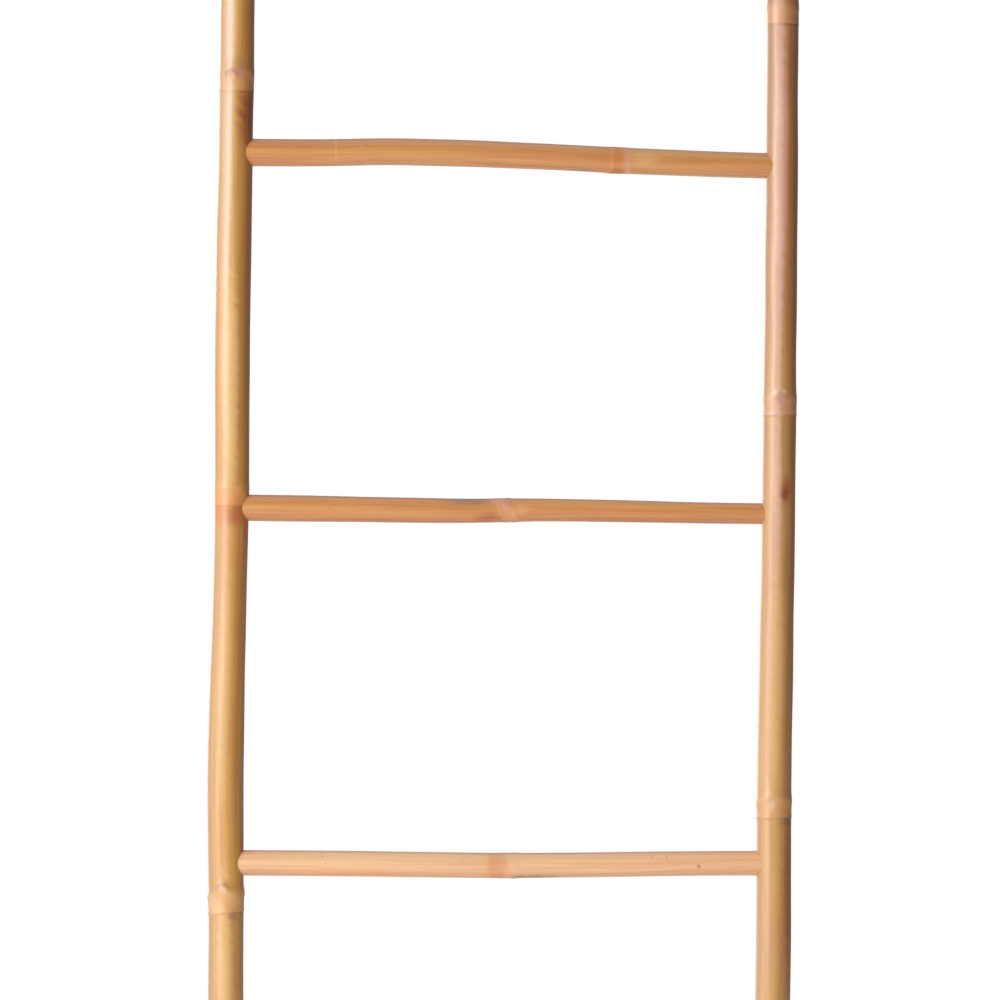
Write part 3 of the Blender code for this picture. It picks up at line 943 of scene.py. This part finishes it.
# %% Skin colour group
CLOUD_SHARE = 0.6  # how far the clouds push the colour between gold and tan
DARK_FIBRE = (0.62, 0.50, 0.40, 1.0)  # multipliers of the ground colour
LIGHT_FIBRE = (1.16, 1.20, 1.26, 1.0)
SPECK_COLOUR = (0.16, 0.06, 0.025, 1.0)
SPECK_STRENGTH = 0.55
MARK_ON_FIBRES = (1.15, 0.80)  # how strongly a mark takes on the darkest and on the lightest fibres
MARK_WEAR = 0.5

skin, skin_in, skin_out = new_group(
    "cane_skin",
    (
        *(("Place", VECTOR), ("Gold", COLOUR), ("Tan", COLOUR), ("Marks And Painted Light", COLOUR)),
        *(("Paint Strength", FLOAT), ("Streak Depth", FLOAT), ("Tone", FLOAT)),
    ),
    (("Color", COLOUR), ("Height", FLOAT), ("Wear", FLOAT)),
)
grain_node = add_node(skin, "ShaderNodeGroup", node_tree=grain)
connect(skin, grain_node, {"Place": skin_in.outputs["Place"]})
clouded = arithmetic(skin, "MULTIPLY_ADD", grain_node.outputs["Cloud"], CLOUD_SHARE, skin_in.outputs["Tone"])
share = arithmetic(skin, "SUBTRACT", clouded, CLOUD_SHARE / 2, clamp=True)
fibres, paint_strength = grain_node.outputs["Streak"], skin_in.outputs["Paint Strength"]
ground = mix_colours(skin, share, skin_in.outputs["Gold"], skin_in.outputs["Tan"])
darker = mix_colours(skin, 1.0, ground, DARK_FIBRE, "MULTIPLY")
lighter = mix_colours(skin, 1.0, ground, LIGHT_FIBRE, "MULTIPLY")
streaked = mix_colours(skin, fibres, darker, lighter)
ground = mix_colours(skin, skin_in.outputs["Streak Depth"], ground, streaked)
patchy = remap(skin, fibres, 0.0, 1.0, *MARK_ON_FIBRES)
strength = arithmetic(skin, "MULTIPLY", paint_strength, patchy, clamp=True)
marked = mix_colours(skin, strength, ground, skin_in.outputs["Marks And Painted Light"])
speck_share = arithmetic(skin, "MULTIPLY", grain_node.outputs["Speck"], SPECK_STRENGTH)
finished = mix_colours(skin, speck_share, marked, SPECK_COLOUR)
wear = arithmetic(skin, "MULTIPLY", paint_strength, MARK_WEAR)
connect(skin, skin_out, {"Color": finished, "Height": grain_node.outputs["Height"], "Wear": wear})

# %% Cut wood group
BUNDLE_CELLS = (1150.0, 1150.0, 0.0)  # fibre bundles per metre across the cut
BUNDLE_DOTS = (0.0095, 0.0150, 0.16, 0.46)  # inner and outer radius, and the dots' size at each
WOOD_FUZZ = (600.0, 600.0, 30.0)
DULL_WOOD, PALE_WOOD = (0.62, 0.44, 0.24, 1.0), (0.80, 0.63, 0.38, 1.0)
BUNDLE_COLOUR = (0.27, 0.14, 0.06, 1.0)
BUNDLE_STRENGTH = 0.7

cut_wood, cut_in, cut_out = new_group(
    "cut_bamboo", (("Place", VECTOR),), (("Color", COLOUR), ("Height", FLOAT))
)
place = cut_in.outputs["Place"]
cells = scaled(cut_wood, place, BUNDLE_CELLS)
bundles = add_node(cut_wood, "ShaderNodeTexVoronoi", {"Vector": cells, "Scale": 1.0})
reach = length_of(cut_wood, scaled(cut_wood, place, (1.0, 1.0, 0.0)))
crowded = remap(cut_wood, reach, *BUNDLE_DOTS)
dot = arithmetic(cut_wood, "LESS_THAN", bundles.outputs["Distance"], crowded)
fuzz = stretched_noise(cut_wood, place, WOOD_FUZZ, 3.0)
pale = mix_colours(cut_wood, fuzz, DULL_WOOD, PALE_WOOD)
dot = arithmetic(cut_wood, "MULTIPLY", dot, BUNDLE_STRENGTH)
dotted = mix_colours(cut_wood, dot, pale, BUNDLE_COLOUR)
connect(cut_wood, cut_out, {"Color": dotted, "Height": fuzz})
print(skin.name, "and", cut_wood.name, "built")

# %% [markdown]
# ## The lacquered finishes
# Each finish is one Principled shader. The base holds the cane's own colour and its fibre bump, and the
# coat is the clear lacquer: smooth, without bump, because varnish levels itself over the fibres. The rails
# have a glossier lacquer than the rungs, and one rung was cut from a paler cane.

# %% Cane finishes
LACQUER_IOR = 1.7
SKIN_ROUGHNESS = 0.42
BARE_ROUGHNESS = 0.8
WEAR_ROUGHNESS = 0.25  # how much rougher the skin is under a full mark
FIBRE_BUMP = {"Strength": 0.5, "Distance": 0.00012}


def attribute_node(tree, name):
    """Reads what was stored on the mesh under a name."""
    return add_node(tree, "ShaderNodeAttribute", attribute_name=name)


def cane_finish(name, gold, tan, streak_depth, coat, coat_roughness):
    """Lacquered cane: skin and cut wood mixed by the bare mask, under a clear coat on the skin only."""
    material, tree, shader = new_material(name)
    place = attribute_node(tree, "straightened").outputs["Vector"]
    marks_and_painted_light = attribute_node(tree, "marks_and_painted_light")
    bare = attribute_node(tree, "bare").outputs["Fac"]
    inputs = {
        "Place": place,
        "Gold": (*gold, 1.0),
        "Tan": (*tan, 1.0),
        "Marks And Painted Light": marks_and_painted_light.outputs["Color"],
        "Paint Strength": marks_and_painted_light.outputs["Alpha"],
        "Streak Depth": streak_depth,
        "Tone": attribute_node(tree, "tone").outputs["Fac"],
    }
    skin_node = connect(tree, add_node(tree, "ShaderNodeGroup", node_tree=skin), inputs)
    cut_node = connect(tree, add_node(tree, "ShaderNodeGroup", node_tree=cut_wood), {"Place": place})
    worn = arithmetic(tree, "MULTIPLY_ADD", skin_node.outputs["Wear"], WEAR_ROUGHNESS, SKIN_ROUGHNESS)
    uncovered = arithmetic(tree, "MULTIPLY", bare, coat)
    bump = add_node(tree, "ShaderNodeBump", {"Height": skin_node.outputs["Height"], **FIBRE_BUMP})
    inputs = {
        "Base Color": mix_colours(tree, bare, skin_node.outputs["Color"], cut_node.outputs["Color"]),
        "Roughness": arithmetic(tree, "MAXIMUM", worn, arithmetic(tree, "MULTIPLY", bare, BARE_ROUGHNESS)),
        "Coat Weight": arithmetic(tree, "SUBTRACT", coat, uncovered, clamp=True),
        "Coat Roughness": coat_roughness,
        "Coat IOR": LACQUER_IOR,
        "Normal": bump.outputs["Normal"],
    }
    connect(tree, shader, inputs)
    return material


FINISHES = {  # gold, tan, streak depth, coat, coat roughness
    "lacquered_pole": ((0.66, 0.36, 0.070), (0.62, 0.26, 0.055), 0.5, 1.0, 0.40),
    "lacquered_pole_warm": ((0.66, 0.36, 0.10), (0.62, 0.25, 0.085), 0.5, 1.0, 0.40),
    "lacquered_rung": ((0.71, 0.36, 0.10), (0.66, 0.22, 0.075), 0.5, 0.6, 0.34),
    "lacquered_rung_pale": ((0.90, 0.55, 0.30), (0.86, 0.45, 0.22), 0.4, 0.6, 0.34),
}
OWN_FINISH = {
    "rail_left": "lacquered_pole",
    "rail_right": "lacquered_pole_warm",
    "rung_2": "lacquered_rung_pale",
}
finishes = {name: cane_finish(name, *values) for name, values in FINISHES.items()}
for cane in canes:
    piece = shells[cane.name]
    piece.data.materials.append(finishes[OWN_FINISH.get(cane.name, "lacquered_rung")])
    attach(piece, "root")
    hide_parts(cane.name)
print(len(finishes), "finishes on", len(canes), "canes")

# %% [markdown]
# ## Nails
# A round wire nail has a low domed head, a straight shank and a point cut on four faces. A turned profile
# is enough here, because only the head shows. The head gets a soft rim and a shallow dome.

# %% Nail finish
BRUSHING = (900.0, 250.0, 2600.0)  # marks per metre left by drawing the wire
TARNISH = (420.0, 420.0, 420.0)
TARNISH_RANGE, BRUSHING_RANGE = (0.45, 0.70), (0.3, 0.7)  # the part of the noise that is spread out
STEEL_ROUGHNESS = (0.28, 0.50)
STEEL_BUMP = {"Strength": 0.4, "Distance": 0.00003}
CLEAN_STEEL, DULL_STEEL = (0.56, 0.55, 0.53, 1.0), (0.30, 0.24, 0.19, 1.0)

nail_steel, tree, shader = new_material("nail_steel")
where = add_node(tree, "ShaderNodeTexCoord").outputs["Object"]
brushing = stretched_noise(tree, where, BRUSHING, 3.0)
tarnish = stretched_noise(tree, where, TARNISH, 3.0)
steel = mix_colours(tree, remap(tree, tarnish, *TARNISH_RANGE), CLEAN_STEEL, DULL_STEEL)
bump = add_node(tree, "ShaderNodeBump", {"Height": brushing, **STEEL_BUMP})
roughness = remap(tree, brushing, *BRUSHING_RANGE, *STEEL_ROUGHNESS)
inputs = {"Base Color": steel, "Roughness": roughness, "Metallic": 1.0, "Normal": bump.outputs["Normal"]}
connect(tree, shader, inputs)
print(nail_steel.name, len(tree.nodes), "nodes")

# %% Nails
DOME_HEIGHT = 0.00035
HEAD_EDGE = ((0.00055, 1.0), (0.00080, 0.96))  # depth, and share of the head's radius
NECK_DEPTH = 0.00082
POINT = ((0.0006, 0.26), (0.0, 0.03))  # distance from the tip, and share of the shank's radius
POINT_LENGTH = 0.0030
NAIL_EDGE = 40  # degrees: an edge sharper than this isn't shaded smooth


def nail_outline(length, head, shank):
    """Depth below the top of the head and radius: dome, edge of the head, shank, taper of the point.

    On the dome the depth is its height times one less the cosine, and the radius is the head's times the
    sine, of an angle that goes to a right angle.
    """
    angle = np.linspace(0.04, 1.0, 9) * math.pi / 2
    dome = np.stack((DOME_HEIGHT * (1 - np.cos(angle)), head * np.sin(angle)), -1)
    edge = [(depth, head * share) for depth, share in HEAD_EDGE]
    straight = [(NECK_DEPTH, shank), (length - POINT_LENGTH, shank)]
    point = [(length - distance, shank * share) for distance, share in POINT]
    return np.concatenate((dome, edge, straight, point))


for number in range(1, 6):
    for label in ("left", "right"):
        node = f"nail_{label}_{number}"
        head_top, length, head, shank = nail_facts(node)
        outline = nail_outline(length, head, shank)
        mesh = grid_mesh(node, turned_grid(head_top, outline, NAIL_COLUMNS), closed=False)
        mesh.shade_smooth()
        mesh.set_sharp_from_angle(angle=math.radians(NAIL_EDGE))
        mesh.materials.append(nail_steel)
        nail = add_object(f"wire_{node}", mesh)
        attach(nail, "root")
        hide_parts(node)
print("10 nails, each", round(float(length) * 1000, 1), "mm long")

# %% [markdown]
# ## Floor and light
# The ladder stands on a plain pale floor in a white room. The floor is a disc that fades out with distance,
# so no horizon shows. A camera ray that misses everything sees white, while the light that reaches the canes
# from the room is much weaker, dimmest from the front right and brightest from the back left, so the canes
# keep their depth. Soft panels do the rest. The ones at the front left draw one long highlight on each cane.
# One of them is seen only by gloss, which sharpens that highlight, and the front panel only adds colour.

# %% Floor
FLOOR_RADIUS = 2.6
FADE_START = 1.3  # metres from the ladder: beyond this the floor melts into the white of the room
FLOOR_COLOURS = (0.84, 0.83, 0.81, 1.0), (0.88, 0.87, 0.86, 1.0)
FLOOR_GLOW = 0.28  # the light of the white room that comes off the floor
floor_turn = np.linspace(0, 2 * math.pi, 96, endpoint=False)
rim = np.stack((np.cos(floor_turn), np.sin(floor_turn), 0 * floor_turn), -1) * FLOOR_RADIUS
floor_mesh = bpy.data.meshes.new("floor")
floor_mesh.from_pydata(rim, [], [list(range(len(rim)))])
floor = add_object("floor", floor_mesh)
pale_floor, tree, shader = new_material("pale_floor")
where = add_node(tree, "ShaderNodeTexCoord").outputs["Object"]
mottle = stretched_noise(tree, where, (3.0, 3.0, 3.0), 4.0)
shade = mix_colours(tree, mottle, *FLOOR_COLOURS)
kept = remap(tree, length_of(tree, where), FADE_START, FLOOR_RADIUS, 1.0, 0.0)
connect(tree, shader, {"Base Color": shade, "Emission Color": shade, "Alpha": kept})
connect(tree, shader, {"Roughness": 0.7, "Emission Strength": FLOOR_GLOW})
floor_mesh.materials.append(pale_floor)
print("floor disc, radius", FLOOR_RADIUS, "m")

# %% Light
DIM_SIDE, BRIGHT_SIDE = 0.10, 0.42  # how bright the room is at the front right and at the back left
TOWARDS_BRIGHT = (-0.7, 0.7, 0.0)
DIM_TO_BRIGHT = (-0.4, 0.6)  # where the change starts and ends, as a share of the way to the bright side
# name, degrees round from the front, distance, height, tilt, panel's width and height, watts, what it lights
PANELS = (
    ("tall_panel", -53, 3.0, 1.75, 90, (1.4, 1.5), 31.0, "both"),
    ("glint_panel", -48, 3.0, 1.80, 90, (0.9, 1.5), 13.0, "gloss"),
    ("low_panel", -44, 3.0, 0.80, 90, (1.8, 1.1), 23.0, "both"),
    ("side_panel", -88, 3.0, 1.25, 90, (1.4, 2.0), 10.0, "both"),
    ("front_panel", -8, 2.6, 0.55, 90, (1.2, 0.9), 24.0, "colour"),
    ("top_panel", 180, 0.3, 3.2, 0, (3.2, 2.6), 18.0, "both"),
    ("back_panel", 205, 3.0, 1.10, 90, (2.0, 1.6), 26.0, "both"),
)

world = bpy.data.worlds.new("white_room")
bpy.context.scene.world = world
world.use_nodes = True
tree = world.node_tree
tree.nodes.clear()
seen = add_node(tree, "ShaderNodeLightPath").outputs["Is Camera Ray"]
direction = add_node(tree, "ShaderNodeTexCoord").outputs["Generated"]
facing = add_node(tree, "ShaderNodeVectorMath", {0: direction, 1: TOWARDS_BRIGHT}, operation="DOT_PRODUCT")
brightness = remap(tree, facing.outputs["Value"], *DIM_TO_BRIGHT, DIM_SIDE, BRIGHT_SIDE)
room = add_node(tree, "ShaderNodeBackground", {"Color": (1, 1, 1, 1), "Strength": brightness})
backdrop = add_node(tree, "ShaderNodeBackground", {"Color": (1, 1, 1, 1), "Strength": 1.0})
both = add_node(tree, "ShaderNodeMixShader", {0: seen, 1: room.outputs[0], 2: backdrop.outputs[0]})
add_node(tree, "ShaderNodeOutputWorld", {"Surface": both.outputs[0]})

for name, degrees, distance, height, tilt, size, watts, lights in PANELS:
    light = bpy.data.lights.new(name, "AREA")
    light.shape, light.energy = "RECTANGLE", watts
    light.size, light.size_y = size
    panel = bpy.data.objects.new(name, light)
    around = math.radians(degrees)
    panel.location = (distance * math.sin(around), -distance * math.cos(around), height)
    panel.rotation_euler = (math.radians(tilt), 0.0, around)
    panel.visible_camera = False
    panel.visible_glossy = lights != "colour"
    panel.visible_diffuse = lights != "gloss"
    bpy.context.scene.collection.objects.link(panel)
bpy.context.scene.view_settings.view_transform = "Standard"
print(len(PANELS), "soft panels")
